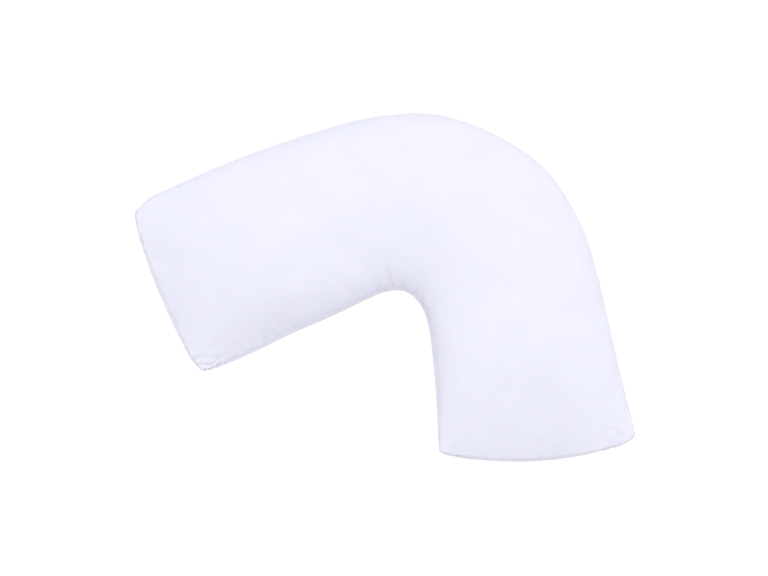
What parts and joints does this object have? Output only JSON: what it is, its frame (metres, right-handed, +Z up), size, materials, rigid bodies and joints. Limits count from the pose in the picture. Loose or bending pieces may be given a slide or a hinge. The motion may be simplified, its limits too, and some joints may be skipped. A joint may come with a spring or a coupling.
{
  "type": "v-shaped support pillow",
  "caption": "Wide V-shaped filled cloth pillow with two thick arms, a round outer bend, a sewn seam round its edge, a high crown and soft creases in the inner bend.",
  "frame": {"origin": "on the surface that the pillow rests on, under the middle of its outline's box", "axes": "+X to the right across both arms, +Y away from the open side of the V, +Z up out of the surface"},
  "size_m": [0.9528, 0.6662, 0.1632],
  "materials": {
    "pillow_cover": "plain woven white polycotton, matt with a faint sheen"
  },
  "bodies": {
    "root": {"pillow": "pillow_cover"}
  },
  "joints": []
}
